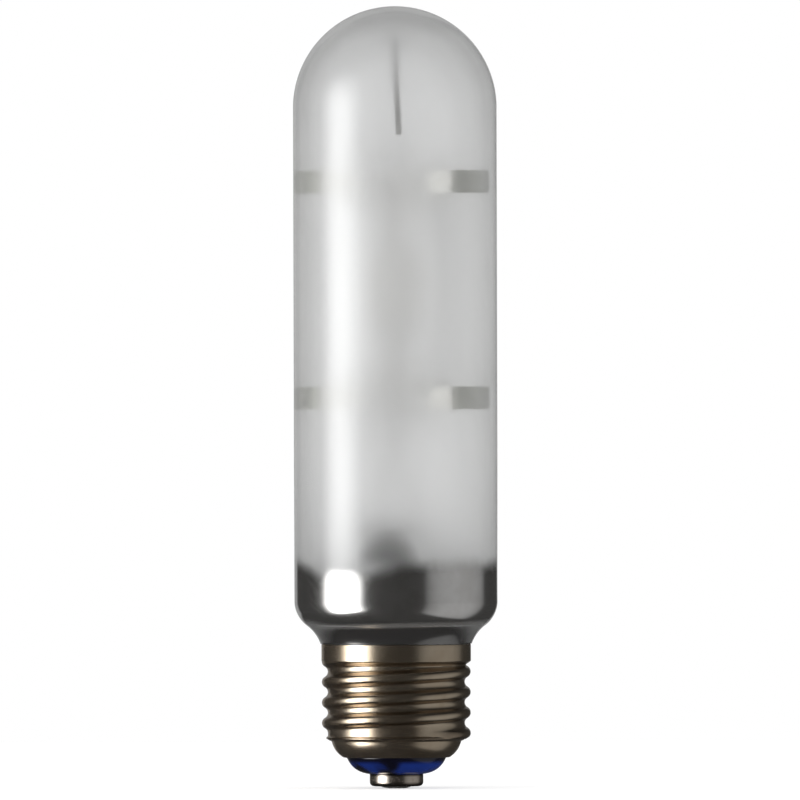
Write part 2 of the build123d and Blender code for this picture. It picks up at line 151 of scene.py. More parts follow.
class Signal:
    """A shader value that adds, multiplies and compares like a number."""

    def __init__(self, finish, socket):
        self.finish = finish
        self.socket = socket

    def out(self, name):
        """Another output of the node that this value comes from."""
        return Signal(self.finish, self.socket.node.outputs[name])

    def maths(self, operation, *terms):
        """One sum of the Math node."""
        return self.finish.node("Math", {"operation": operation}, dict(enumerate(terms)))

    def __abs__(self):
        return self.maths("ABSOLUTE", self)

    def __neg__(self):
        return self.maths("MULTIPLY", self, -1.0)

    def __add__(self, other):
        return self.maths("ADD", self, other)

    def __radd__(self, other):
        return self.maths("ADD", other, self)

    def __sub__(self, other):
        return self.maths("SUBTRACT", self, other)

    def __rsub__(self, other):
        return self.maths("SUBTRACT", other, self)

    def __mul__(self, other):
        return self.maths("MULTIPLY", self, other)

    def __rmul__(self, other):
        return self.maths("MULTIPLY", other, self)

    def __truediv__(self, other):
        return self.maths("DIVIDE", self, other)

    def __pow__(self, other):
        return self.maths("POWER", self, other)

    def most(self, other):
        return self.maths("MAXIMUM", self, other)

    def least(self, other):
        return self.maths("MINIMUM", self, other)

    def ease(self, low, high):
        """Soft step: 0 at low, 1 at high."""
        limits = {"Value": self, "From Min": low, "From Max": high}
        return self.finish.node("MapRange", {"interpolation_type": "SMOOTHSTEP"}, limits)


class Finish:
    """One material, or the world, and the nodes that draw it."""

    def __init__(self, name, family="materials"):
        self.owner = getattr(bpy.data, family).new(name)
        self.owner.use_nodes = True
        self.tree = self.owner.node_tree
        self.tree.nodes.clear()

    def node(self, kind, settings=None, sockets=None):
        """Adds a node: its settings first, then the values or links of its sockets."""
        made = self.tree.nodes.new("ShaderNode" + kind)
        for name, value in (settings or {}).items():
            setattr(made, name, value)
        inputs = [socket for socket in made.inputs if socket.enabled]
        for key, value in (sockets or {}).items():
            if isinstance(key, int):
                named = inputs[key]
            else:
                named = next(socket for socket in inputs if socket.name == key)
            if isinstance(value, Signal):
                self.tree.links.new(value.socket, named)
            elif named.type == "RGBA":
                named.default_value = (*value, 1.0)
            else:
                named.default_value = value
        outputs = [socket for socket in made.outputs if socket.enabled]
        return Signal(self, outputs[0]) if outputs else None

    def spot(self):
        """Place on the lamp in metres."""
        return self.node("TexCoord").out("Object")

    def axes(self):
        """The place's x, y and z in millimetres."""
        split = self.node("SeparateXYZ", None, {0: self.spot()})
        return [split.out(axis) * (1 / MM) for axis in "XYZ"]

    def radius(self):
        """Distance from the lamp axis in millimetres."""
        x, y, _ = self.axes()
        return (x * x + y * y) ** 0.5

    def height(self):
        """Height on the lamp in millimetres."""
        return self.axes()[2]

    def cloud(self, scale, detail=3.0, rough=0.55, at=None):
        """Soft noise between 0 and 1."""
        grain = {"Scale": scale, "Detail": detail, "Roughness": rough}
        return self.node("TexNoise", None, {"Vector": at or self.spot(), **grain})

    def streaks(self, scales, detail, rough):
        """Soft noise with its own scale along each axis."""
        at = self.node("VectorMath", {"operation": "MULTIPLY"}, {0: self.spot(), 1: scales})
        return self.cloud(1.0, detail, rough, at)

    def blend(self, share, first, second):
        """Colour between two colours."""
        return self.node("Mix", {"data_type": "RGBA"}, {"Factor": share, "A": first, "B": second})

    def either(self, share, first, second):
        """Shader between two shaders."""
        return self.node("MixShader", None, {0: share, 1: first, 2: second})

    def bump(self, height, strength, distance):
        """Normal that follows small heights; the distance is in metres."""
        relief = {"Strength": strength, "Distance": distance, "Height": height}
        return self.node("Bump", None, relief)

    def surface(self, **sockets):
        """Principled shader; names use _ for a space."""
        spaced = {name.replace("_", " "): value for name, value in sockets.items()}
        return self.node("BsdfPrincipled", None, spaced)

    def done(self, shader, output="OutputMaterial"):
        self.node(output, {"target": "ALL"}, {"Surface": shader})
        return self.owner


# Drawing helpers
def arc(centre, radius, start, end, steps):
    """Points on an arc between two angles in degrees."""
    spots = []
    for step in range(steps + 1):
        a = math.radians(start + (end - start) * step / steps)
        spots.append((centre[0] + radius * math.cos(a), centre[1] + radius * math.sin(a)))
    return spots


def bowed(start, end, bulge, steps):
    """Points from start to end on a low curve bowed to the left of the way."""
    dx = end[0] - start[0]
    dy = end[1] - start[1]
    length = math.hypot(dx, dy)
    spots = []
    for step in range(steps + 1):
        t = step / steps
        out = 4 * bulge * t * (1 - t) / length
        spots.append((start[0] + dx * t - dy * out, start[1] + dy * t + dx * out))
    return spots


def straight(start, end, steps):
    """Evenly spaced points on a line."""
    spots = []
    for step in range(steps + 1):
        spots.append(tuple(a + (b - a) * step / steps for a, b in zip(start, end)))
    return spots


def around(radius, angle):
    """Plan point at an angle in degrees from the front, turning towards +X."""
    a = math.radians(angle)
    return (radius * math.sin(a), -radius * math.cos(a))


def soft_step(value, low, high):
    """0 below low, 1 above high and smooth between."""
    t = min(max((value - low) / (high - low), 0.0), 1.0)
    return t * t * (3 - 2 * t)


def tidy_path(spots):
    """Path without repeated points."""
    kept = [spots[0]]
    for spot in spots[1:]:
        if math.dist(spot, kept[-1]) > SAME_SPOT:
            kept.append(spot)
    return kept


def turned_rings(outline, sides, shape=None):
    """Rings of points about the lamp axis for each radius and height of an outline."""
    rings = []
    for radius, height in outline:
        if radius < HAIR:
            rings.append([(0.0, 0.0, height)])
            continue
        ring = []
        for side in range(sides):
            a = 2 * math.pi * side / sides
            r, z = shape(radius, height, a) if shape else (radius, height)
            ring.append((r * math.cos(a), r * math.sin(a), z))
        rings.append(ring)
    return rings


def skin(name, rings, closed=False, sharp=40.0):
    """Mesh over neighbouring rings; a ring of one point closes to a tip."""
    spots = []
    starts = []
    for ring in rings:
        starts.append(len(spots))
        spots.extend(ring)
    pairs = list(zip(range(len(rings)), range(1, len(rings))))
    if closed:
        pairs.append((len(rings) - 1, 0))
    faces = []
    for a, b in pairs:
        sides = max(len(rings[a]), len(rings[b]))
        for side in range(sides):
            ahead = (side + 1) % sides
            corners = (
                starts[a] + side % len(rings[a]),
                starts[b] + side % len(rings[b]),
                starts[b] + ahead % len(rings[b]),
                starts[a] + ahead % len(rings[a]),
            )
            faces.append(tuple(dict.fromkeys(corners)))
    mesh = bpy.data.meshes.new(name)
    mesh.from_pydata([[c * MM for c in spot] for spot in spots], [], faces)
    mesh.validate()
    mesh.shade_smooth()
    mesh.set_sharp_from_angle(angle=math.radians(sharp))
    return mesh


def tube_rings(path, radius, sides, end_bevel):
    """Rings of a round wire along a path, with broken edges and closed ends."""
    spots = [Vector(spot) for spot in path]
    ways = [(b - a).normalized() for a, b in zip(spots, spots[1:])]
    ways = [ways[0]] + [(a + b).normalized() for a, b in zip(ways, ways[1:])] + [ways[-1]]
    side_way = ways[0].orthogonal().normalized()
    rings = []

    def ring(spot, across, up, size):
        turn = [2 * math.pi * side / sides for side in range(sides)]
        return [tuple(spot + (across * math.cos(a) + up * math.sin(a)) * size) for a in turn]

    last = len(spots) - 1
    for index, (spot, way) in enumerate(zip(spots, ways)):
        side_way = (side_way - way * side_way.dot(way)).normalized()
        up = way.cross(side_way)
        if index == 0:
            rings += [[tuple(spot)], ring(spot, side_way, up, radius - end_bevel)]
            rings.append(ring(spot + way * end_bevel, side_way, up, radius))
        elif index == last:
            rings.append(ring(spot - way * end_bevel, side_way, up, radius))
            rings += [ring(spot, side_way, up, radius - end_bevel), [tuple(spot)]]
        else:
            rings.append(ring(spot, side_way, up, radius))
    return rings


def rounded_path(corners, bend, steps):
    """Path of straight runs whose corners are circular bends of one radius."""
    spots = [Vector(corner) for corner in corners]
    path = [spots[0]]
    for before, corner, after in zip(spots, spots[1:], spots[2:]):
        along = (corner - before).normalized()
        onward = (after - corner).normalized()
        angle = along.angle(onward)
        start = corner - along * (bend * math.tan(angle / 2))
        inward = (onward - along * along.dot(onward)).normalized()
        for step in range(steps + 1):
            a = angle * step / steps
            path.append(start + along * (bend * math.sin(a)) + inward * (bend * (1 - math.cos(a))))
    path.append(spots[-1])
    return path


def add_piece(name, mesh, slot, nodes, *finishes):
    """Puts a piece on the lamp in place of its solids."""
    piece = bpy.data.objects.new(name, mesh)
    bpy.context.scene.collection.objects.link(piece)
    for finish in finishes:
        mesh.materials.append(finish)
    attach(piece, LAMP)
    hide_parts(*nodes)


def dress(finish, *nodes):
    """Gives solids of the frame their finish."""
    for node in nodes:
        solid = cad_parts[node]
        solid.data.materials.clear()
        solid.data.materials.append(finish)


# Finishes
def light_passes(finish, shader, share, tint):
    """Lets lamp light and soft light through a glass wall onto what is behind it."""
    path = finish.node("LightPath")
    passing = path.out("Is Shadow Ray").most(path.out("Is Diffuse Ray")) * share
    through = finish.node("BsdfTransparent", None, {"Color": (tint, tint, tint)})
    return finish.either(passing, shader, through)


def facing_away(finish):
    """0 where a surface faces the eye, 1 at its rim."""
    return finish.node("LayerWeight", None, {"Blend": 0.5}).out("Facing")


def bulb_glass_finish():
    """Outer face of the bulb: etched glass, with the getter's mirror film showing near the cap."""
    f = Finish("bulb_glass")
    x, _, z = f.axes()
    drawn = f.streaks((240.0, 240.0, 14.0), 3.0, 0.6)
    dip = (1 - x.ease(*DIP_RIGHT)) * x.ease(*DIP_LEFT)
    edge = z + dip * FILM_DIP - (drawn - 0.5) * FILM_WAVER
    film = 1 - edge.ease(FILM_EDGE - FILM_SOFT, FILM_EDGE)
    neck = 1 - z.ease(NECK_LEVEL - NECK_SOFT, NECK_LEVEL)
    ripple = f.bump(f.streaks((60.0, 60.0, 25.0), 2.0, 0.5), 0.06, 0.0004)
    glass = f.surface(
        Base_Color=(1.0, 1.0, 1.0),
        Roughness=0.10 + drawn * 0.06,
        IOR=1.5,
        Specular_IOR_Level=0.0,
        Transmission_Weight=1.0,
        Coat_Weight=0.42 + drawn * 0.76,
        Coat_Roughness=0.50,
    )
    mottle = f.cloud(220.0, 4.0)
    bright, dulled = (0.82, 0.815, 0.80), (0.74, 0.73, 0.71)
    mirror = f.surface(
        Base_Color=f.blend(mottle.ease(0.3, 0.7), bright, dulled),
        Metallic=1.0,
        Roughness=0.15 + mottle * 0.06,
        Coat_Weight=1.0,
        Coat_Roughness=0.03,
        Normal=ripple,
    )
    # Painted reflection: a pale ring in the dark neck glass stands in for the reflection of the
    # shell's top rim.
    collar_glint = 1 - abs(z - x * COLLAR_GLINT_TILT - COLLAR_GLINT_LEVEL).ease(*COLLAR_GLINT_FADE)
    smoke, collar_glint_grey = (0.022, 0.021, 0.021), (0.16, 0.155, 0.15)
    smoked = f.surface(
        Base_Color=f.blend(collar_glint, smoke, collar_glint_grey),
        Roughness=0.12 + mottle * 0.05,
        IOR=1.5,
        Normal=ripple,
    )
    rim = facing_away(f).ease(0.46, 0.82) * neck
    wall = f.either(film * (1 - rim), glass, f.either(neck * 0.75, mirror, smoked))
    return f.done(light_passes(f, wall, 1 - film, 0.96))


def satin_coat_finish():
    """Inner face of the bulb: a thin white coat that blurs what lies deeper inside."""
    f = Finish("satin_coat")
    x, y, z = f.axes()
    grain = f.cloud(900.0, 2.0)
    streak = f.streaks((260.0, 260.0, 12.0), 4.0, 0.6)
    slant = facing_away(f)
    unevenness = (streak - 0.5) * 0.16 + (grain - 0.5) * 0.06
    density = 0.35 + slant.ease(0.13, 0.29) * 0.46 + unevenness
    low = 1 - z.ease(44.0, 54.0)
    clear = f.surface(
        Base_Color=(0.97, 0.975, 0.975),
        Roughness=0.56 + grain * 0.06 + low * 0.18,
        IOR=1.5,
        Transmission_Weight=1.0,
    )
    powder = f.node("BsdfDiffuse", None, {"Color": (0.71, 0.715, 0.715)})
    glow = f.node("BsdfTranslucent", None, {"Color": (0.94, 0.945, 0.94)})
    coat = f.either(density, clear, f.either(0.5, powder, glow))
    # Slightly darker low on the coat, fading out above the film edge.
    film_edge_darkening = (1 - z.ease(39.0, 45.0)) * 0.05
    # Painted shade: darker towards the rim of the bulb, more so on the dome, and over the top of
    # the dome.
    dome_shade = z.ease(110.0, 126.0)
    crown = z.ease(131.5, 134.5)
    rim = slant.ease(0.138, 0.24) * (0.09 + dome_shade * 0.14) + crown * 0.05
    # Painted reflection: the dark middle of the mirror film, seen through the coat as a dark mound
    # above the film edge on the front side.
    front = (-y).ease(5.0, 12.0)
    across = (x - REFLECTION_MOUND_MIDDLE) / REFLECTION_MOUND_HALF
    upward = (z - REFLECTION_MOUND_FOOT).most(0.0) / REFLECTION_MOUND_TALL
    spread = across * across + upward * upward
    reflection_mound_gap = (1 - z.ease(38.4, 41.8)) * (1 - x.ease(-4.5, 0.5)) * 0.65
    reflection_mound = (1 - spread.ease(0.0, 1.15)) * front * (1 - reflection_mound_gap)
    # One dark diffuse mixed into the coat: the painted shade, the painted reflection and the
    # darkening above the film.
    coat_darkening = f.node("BsdfDiffuse", None, {"Color": (0.03, 0.029, 0.027)})
    coat = f.either(film_edge_darkening.most(reflection_mound * 0.66).most(rim), coat, coat_darkening)
    return f.done(light_passes(f, coat, 1.0, 0.8))


def nickel_finish():
    """Rolled plated sheet: warm grey, finely lined, with painted shade on the flanks of the thread.
    """
    f = Finish("nickel_plate")
    lines = f.streaks((90.0, 90.0, 9000.0), 4.0, 0.6)
    cloud = f.cloud(140.0, 3.0)
    middle = (ROOT_R + CREST_R) / 2
    # Painted shade: the flanks of the thread are darkened, standing in for the dark surroundings
    # they reflect.
    flank_shade = 1 - abs(f.radius() - middle).ease(0.15, 0.45)
    bright, dulled, flank_shade_brown = (0.60, 0.508, 0.39), (0.50, 0.405, 0.298), (0.20, 0.15, 0.11)
    plain = f.blend(cloud.ease(0.35, 0.7), bright, dulled)
    shader = f.surface(
        Base_Color=f.blend(flank_shade * 0.55, plain, flank_shade_brown),
        Metallic=1.0,
        Roughness=0.20 + lines * 0.09,
        Normal=f.bump(lines, 0.05, 0.00005),
    )
    return f.done(shader)


def contact_finish():
    """Drawn contact cup: warm plated metal with a few turning lines."""
    f = Finish("contact_plate")
    z = f.height()
    turned = {"X": f.radius() * 6.0, "Y": z * 6.0, "Z": 0.0}
    rings = f.cloud(1.0, 3.0, 0.6, f.node("CombineXYZ", None, turned))
    scuffs = f.cloud(700.0, 4.0)
    bright, scuffed, edge_shade_colour = (0.62, 0.55, 0.48), (0.48, 0.40, 0.33), (0.07, 0.055, 0.045)
    plain = f.blend(scuffs.ease(0.4, 0.75), bright, scuffed)
    # Painted shade: darker at the top edge of the cup and round its bottom corner.
    edge_shade = z.ease(2.0, 2.4).most(1 - z.ease(0.7, 1.3)) * 0.85
    shader = f.surface(
        Base_Color=f.blend(edge_shade, plain, edge_shade_colour),
        Metallic=1.0,
        Roughness=0.16 + rings * 0.14,
        Normal=f.bump(rings, 0.15, 0.00004),
    )
    return f.done(shader)


def solder_finish():
    """Cooled solder: grey, soft sheen, slightly wrinkled."""
    f = Finish("solder")
    wrinkle = f.cloud(900.0, 4.0, 0.6)
    bright, dulled = (0.56, 0.55, 0.53), (0.40, 0.39, 0.38)
    shader = f.surface(
        Base_Color=f.blend(wrinkle.ease(0.35, 0.7), bright, dulled),
        Metallic=1.0,
        Roughness=0.28 + wrinkle * 0.25,
        Normal=f.bump(wrinkle, 0.35, 0.0001),
    )
    return f.done(shader)


def blue_glass_finish():
    """Insulator glass: nearly black, with deep blue painted in low down as light glowing in the
    glass.
    """
    f = Finish("blue_glass")
    swirl = f.streaks((190.0, 190.0, 150.0), 1.0, 0.5)
    low = 1 - f.height().ease(4.1, 5.1)
    # Painted light: blue patches in the lower glass stand in for light passing through it.
    lit = swirl.ease(0.40, 0.58) * low
    dark, blue = (0.003, 0.003, 0.010), (0.008, 0.028, 0.19)
    shader = f.surface(
        Base_Color=f.blend(lit, dark, blue),
        Roughness=0.10 + f.cloud(500.0) * 0.08,
        IOR=1.52,
        Normal=f.bump(f.cloud(160.0), 0.25, 0.0003),
    )
    return f.done(shader)


def cement_finish():
    """Basing cement: grainy, pinkish white."""
    f = Finish("cement")
    grain = f.cloud(1500.0, 5.0, 0.65)
    pit, face = (0.52, 0.45, 0.39), (0.72, 0.66, 0.60)
    shader = f.surface(
        Base_Color=f.blend(grain, pit, face),
        Roughness=0.9,
        Normal=f.bump(grain, 0.5, 0.0002),
    )
    return f.done(shader)


def clear_glass_finish(name, tint, roughness):
    """Clear worked glass with faint draw marks."""
    f = Finish(name)
    marks = f.streaks((250.0, 250.0, 15.0), 3.0, 0.5)
    glass = f.surface(
        Base_Color=tint,
        Roughness=roughness + marks * 0.03,
        IOR=1.46,
        Transmission_Weight=1.0,
        Normal=f.bump(marks, 0.05, 0.0003),
    )
    return f.done(light_passes(f, glass, 1.0, 0.98))


def wire_finish(name, light, dark):
    """Drawn wire: fine lines along it and a dull heat tint in patches."""
    f = Finish(name)
    lines = f.streaks((4000.0, 4000.0, 120.0), 3.0, 0.6)
    tint = f.cloud(130.0, 2.0)
    shader = f.surface(
        Base_Color=f.blend(tint.ease(0.35, 0.7), light, dark),
        Metallic=1.0,
        Roughness=0.30 + lines * 0.15,
    )
    return f.done(shader)


def spring_finish():
    """Rolled spring strip: bright round the shroud and darker on its ends against the bulb wall,
    painted light and shade on one metal.
    """
    f = Finish("spring_strip")
    grain = f.streaks((150.0, 150.0, 14000.0), 4.0, 0.6)
    cloud = f.cloud(160.0, 2.0)
    bright, shaded_end_pale, shaded_end_deep = (0.92, 0.91, 0.86), (0.46, 0.465, 0.405), (0.35, 0.355, 0.30)
    shaded_ends = f.blend(cloud.ease(0.3, 0.7), shaded_end_pale, shaded_end_deep)
    shader = f.surface(
        # Painted light and shade: the band round the shroud gets the bright colour and the ends the
        # dark one.
        Base_Color=f.blend(f.radius().ease(15.6, 16.5), bright, shaded_ends),
        Metallic=1.0,
        Roughness=0.26 + grain * 0.12,
        Normal=f.bump(grain, 0.08, 0.00005),
    )
    return f.done(shader)


def alumina_finish():
    """Sintered ceramic: soft white, greying slightly towards the legs."""
    f = Finish("alumina")
    away = abs(f.height() - LIGHT_CENTRE)
    grain = f.cloud(1200.0, 3.0)
    aged = away.ease(4.0, 14.0) * 0.7 + grain * 0.2
    white, greyed = (0.86, 0.855, 0.83), (0.68, 0.67, 0.65)
    shader = f.surface(
        Base_Color=f.blend(aged, white, greyed),
        Roughness=0.45,
        Normal=f.bump(grain, 0.1, 0.00005),
    )
    return f.done(shader)


def frit_finish():
    """Sealing glaze on the ends of the legs."""
    f = Finish("seal_frit")
    pool = f.cloud(1600.0, 2.0)
    thin, thick = (0.66, 0.60, 0.50), (0.44, 0.39, 0.33)
    shader = f.surface(
        Base_Color=f.blend(pool, thin, thick),
        Roughness=0.2 + pool * 0.2,
    )
    return f.done(shader)


def getter_finish():
    """Fired getter channel: dark, burnt powder in a steel ring."""
    f = Finish("getter_metal")
    burnt = f.cloud(1100.0, 4.0, 0.65)
    powder, steel = (0.045, 0.045, 0.045), (0.16, 0.155, 0.15)
    shader = f.surface(
        Base_Color=f.blend(burnt.ease(0.35, 0.65), powder, steel),
        Metallic=0.6,
        Roughness=0.45 + burnt * 0.3,
        Normal=f.bump(burnt, 0.4, 0.0001),
    )
    return f.done(shader)


# Outer bulb
def make_bulb():
    """Blown glass wall from dome to neck, slightly uneven where the shoulder was worked."""
    bore_r = BULB_R - BULB_WALL
    shoulder = SHOULDER_CENTRE[1]
    outer = arc((0, DOME_CENTRE), BULB_R, 90, 0, 56)
    outer += straight((BULB_R, DOME_CENTRE), (BULB_R, shoulder), 44)
    outer += arc(SHOULDER_CENTRE, SHOULDER_R, 0, -SHOULDER_SWEEP, 28)
    outer += arc(FLARE_CENTRE, FLARE_R, 180 - SHOULDER_SWEEP, 180 - FLARE_END, 24)
    seat = arc((SEAT_R - SEAT_ROUND, SEAT_LEVEL + SEAT_ROUND), SEAT_ROUND, 0, -90, 5)
    seat += [(SEAT_R - SEAT_FLAT, SEAT_LEVEL), (NECK_R, SEAT_LEVEL - SEAT_DROP)]
    seat += [(NECK_R, NECK_BOTTOM)]
    inner = [(NECK_INNER_R, NECK_BOTTOM), (NECK_INNER_R, NECK_INNER_TOP)]
    inner += arc(FLARE_CENTRE, FLARE_R + BULB_WALL, 180 - INNER_FLARE_END, 180 - SHOULDER_SWEEP, 16)
    inner += arc(SHOULDER_CENTRE, SHOULDER_R - BULB_WALL, -SHOULDER_SWEEP, 0, 20)
    inner += straight((bore_r, shoulder), (bore_r, DOME_CENTRE), 30)
    inner += arc((0, DOME_CENTRE), bore_r, 0, 90, 48)
    outside = tidy_path(outer + seat)
    inside = tidy_path(inner)

    def uneven(radius, height, a):
        worked = soft_step(height, *WORK_STARTS) * (1 - soft_step(height, *WORK_ENDS))
        wave = math.sin(2 * a + 0.6)
        wave += 0.6 * math.sin(3 * a + 0.19 * height) + 0.4 * math.sin(5 * a - 0.31 * height)
        return min(radius, BULB_R - FACET_ROOM) - WORK_DEPTH * worked * (1 + wave / 2), height

    mesh = skin("bulb_glass", turned_rings(outside + inside, BULB_SIDES, uneven), sharp=50.0)
    outside_faces = (len(outside) - 1) * BULB_SIDES
    for face in mesh.polygons:
        face.material_index = 0 if face.index < outside_faces else 1
    finishes = bulb_glass_finish(), satin_coat_finish()
    add_piece("bulb_glass", mesh, "satin_glass", ["outer_bulb"], *finishes)


# Screw shell
def thread_radius(height, angle):
    """Outside of the rolled thread: round crests and round roots in turn."""
    turn = (angle - THREAD_START_ANGLE) % 360 / 360
    along = (height - THREAD_START) / PITCH - turn
    nearest = round(along)
    off = abs(along - nearest) * PITCH
    depth = CREST_R - ROOT_R
    quarter = PITCH / 4
    curve = (quarter ** 2 + (depth / 2) ** 2) / depth
    if off <= quarter:
        rise = depth - curve + math.sqrt(curve ** 2 - off ** 2)
    else:
        rise = curve - math.sqrt(curve ** 2 - (2 * quarter - off) ** 2)
    return ROOT_R + rise * soft_step(nearest + turn, *THREAD_GROWS)


def shell_radius(height, angle):
    """Outside of the screw shell at a height and an angle in degrees."""
    if height >= COLLAR_BOTTOM:
        return COLLAR_R
    begun = soft_step(height, *THREAD_RISES)
    threaded = ROOT_R + (thread_radius(height, angle) - ROOT_R) * begun
    collar = ROOT_R + (COLLAR_R - ROOT_R) * soft_step(height, *COLLAR_RISES)
    bead = ROOT_R + BEAD_RISE * (1 - ((height - BEAD_LEVEL) / BEAD_HALF) ** 2)
    return max(threaded, collar, bead)


def make_shell():
    """Drawn sheet with a right-hand rolled thread that fades in above the foot."""
    rim_round, mouth_round = 0.15, 0.12
    bend_r, bend_level = FOOT_BEND
    inside = [
        (MOUTH_R, SHELL_BOTTOM + SHEET),
        (FOOT_R, SHELL_BOTTOM + SHEET),
        (bend_r - SHEET - 0.55, bend_level - 1.0),
        (bend_r - SHEET, bend_level),
        (ROOT_R - SHEET, FOOT_TOP),
        (ROOT_R - SHEET, COLLAR_FOOT),
        (COLLAR_R - SHEET, COLLAR_BOTTOM),
        (COLLAR_R - SHEET, SHELL_TOP),
    ]
    rim = arc((COLLAR_R - rim_round, SHELL_TOP - rim_round), rim_round, 90, 0, 5)
    collar = straight((COLLAR_R, SHELL_TOP - rim_round), (COLLAR_R, COLLAR_BOTTOM), 6)
    body = straight((ROOT_R, COLLAR_BOTTOM), (ROOT_R, FOOT_TOP), 150)
    foot = bowed((ROOT_R, FOOT_TOP), (bend_r + 0.05, bend_level + 0.12), 0.08, 5)
    foot += bowed(FOOT_BEND, (FOOT_R, SHELL_BOTTOM), FOOT_BULGE, 16)
    foot += [(MOUTH_R + mouth_round, SHELL_BOTTOM), (MOUTH_R, SHELL_BOTTOM + mouth_round)]
    outline = tidy_path(inside + rim + collar + body + foot)

    def rolled(radius, height, a):
        on_body = FOOT_TOP - HAIR <= height <= COLLAR_BOTTOM and abs(radius - ROOT_R) < HAIR
        return (shell_radius(height, math.degrees(a)) if on_body else radius), height

    rings = turned_rings(outline, SHELL_SIDES, rolled)
    mesh = skin("screw_shell_rolled", rings, closed=True, sharp=50.0)
    add_piece("screw_shell_rolled", mesh, "nickel_plate", ["screw_shell"], nickel_finish())


# Insulator, contact, solder and weld
def make_insulator():
    """Pressed glass that fills the foot of the shell and the contact cup."""
    throat_r = MOUTH_R - GLASS_GAP
    cup_r = CONTACT_R - CONTACT_SHEET - GLASS_GAP
    cup_floor = CONTACT_BOTTOM + CONTACT_SHEET + GLASS_GAP
    lining = SHEET + GLASS_GAP
    bore_r, cup_corner, bulge = 1.4, 0.4, 0.62
    outline = [(bore_r, cup_floor), (cup_r - cup_corner, cup_floor)]
    outline += [(cup_r, cup_floor + cup_corner), (cup_r, CONTACT_TOP)]
    outline += straight((cup_r, CONTACT_TOP), (CONTACT_R + 0.4, CONTACT_TOP), 3)
    outline += bowed((CONTACT_R + 0.55, CONTACT_TOP + 0.04), (throat_r, SHELL_BOTTOM), -bulge, 24)
    outline += [(throat_r, SHELL_BOTTOM + lining), (FOOT_R - GLASS_GAP, SHELL_BOTTOM + lining)]
    outline += [(FOOT_BEND[0] - lining, FOOT_BEND[1] + GLASS_GAP)]
    outline += [(ROOT_R - lining, FOOT_TOP + GLASS_GAP)]
    outline += [(ROOT_R - lining, INSULATOR_TOP), (bore_r, INSULATOR_TOP)]
    mesh = skin("glass_insulator", turned_rings(tidy_path(outline), 128), closed=True, sharp=30.0)
    add_piece("glass_insulator", mesh, "blue_glass", ["cap_insulator"], blue_glass_finish())


def make_contact():
    """Drawn cup with a rounded corner and an eyelet in its floor."""
    corner = (CONTACT_R - CONTACT_CORNER, CONTACT_BOTTOM + CONTACT_CORNER)
    lip, rim = 0.1, 0.12
    outline = [(EYELET_R, CONTACT_BOTTOM + CONTACT_SHEET)]
    outline += [(EYELET_R, CONTACT_BOTTOM + lip), (EYELET_R + lip, CONTACT_BOTTOM)]
    outline += straight((EYELET_R + 2 * lip, CONTACT_BOTTOM), (corner[0], CONTACT_BOTTOM), 6)
    outline += arc(corner, CONTACT_CORNER, -90, 0, 12)
    outline += arc((CONTACT_R - rim, CONTACT_TOP - rim), rim, 0, 90, 4)
    outline += [(CONTACT_R - CONTACT_SHEET, CONTACT_TOP)]
    outline += arc(corner, CONTACT_CORNER - CONTACT_SHEET, 0, -90, 6)
    mesh = skin("contact_cup", turned_rings(tidy_path(outline), 128), closed=True, sharp=35.0)
    add_piece("contact_cup", mesh, "contact_plate", ["centre_contact"], contact_finish())


def make_contact_solder():
    """Solder drop under the eyelet with a flat land, slightly uneven at its rim."""
    land_r, drop_r, stem_r, stem_top = 1.5, 2.9, 1.19, 1.6
    seat = CONTACT_BOTTOM + 0.002
    outline = [(0, 0), (0.8, 0)] + bowed((land_r, 0), (drop_r, CONTACT_BOTTOM), -0.06, 8)
    outline += [(drop_r - 0.15, seat), (stem_r, seat), (stem_r, stem_top), (0, stem_top)]

    def uneven(radius, height, a):
        rim = soft_step(radius, land_r, drop_r - 0.1)
        rim *= 0.5 + 0.5 * math.sin(3 * a + 0.8) * math.cos(2 * a)
        return radius - 0.22 * rim, height

    mesh = skin("contact_bead", turned_rings(tidy_path(outline), 72, uneven), sharp=40.0)
    add_piece("contact_bead", mesh, "solder", ["contact_solder"], solder_finish())


def make_shell_weld():
    """Small solder mound on the collar, over the end of the shell wire."""
    low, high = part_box("shell_weld")
    middle = (low + high) / 2 / MM
    wide = (high.x - low.x) / 2 / MM
    tall = (high.z - low.z) / 2 / MM
    back = low.y / MM
    crown = (high.y / MM - COLLAR_R) * 0.98
    rows, sides = 12, 40
    rings = []
    for row in range(rows):
        out = row / rows
        size = math.cos(out * math.pi / 2)
        ring = []
        for side in range(sides):
            a = 2 * math.pi * side / sides
            wobble = 1 - 0.07 * (1 + math.sin(3 * a + 1.0))
            x = wide * size * math.cos(a) * wobble
            z = tall * size * math.sin(a) * wobble
            seat = math.sqrt(max(COLLAR_R ** 2 - x ** 2, 0))
            y = seat + crown * math.sin(out * math.pi / 2)
            ring.append((middle.x + x, max(y, back), middle.z + z))
        rings.append(ring)
    rings.append([(middle.x, COLLAR_R + crown, middle.z)])
    rings.insert(0, [(middle.x, COLLAR_R, middle.z)])
    mesh = skin("weld_mound", rings, sharp=60.0)
    add_piece("weld_mound", mesh, "solder", ["shell_weld"], bpy.data.materials["solder"])


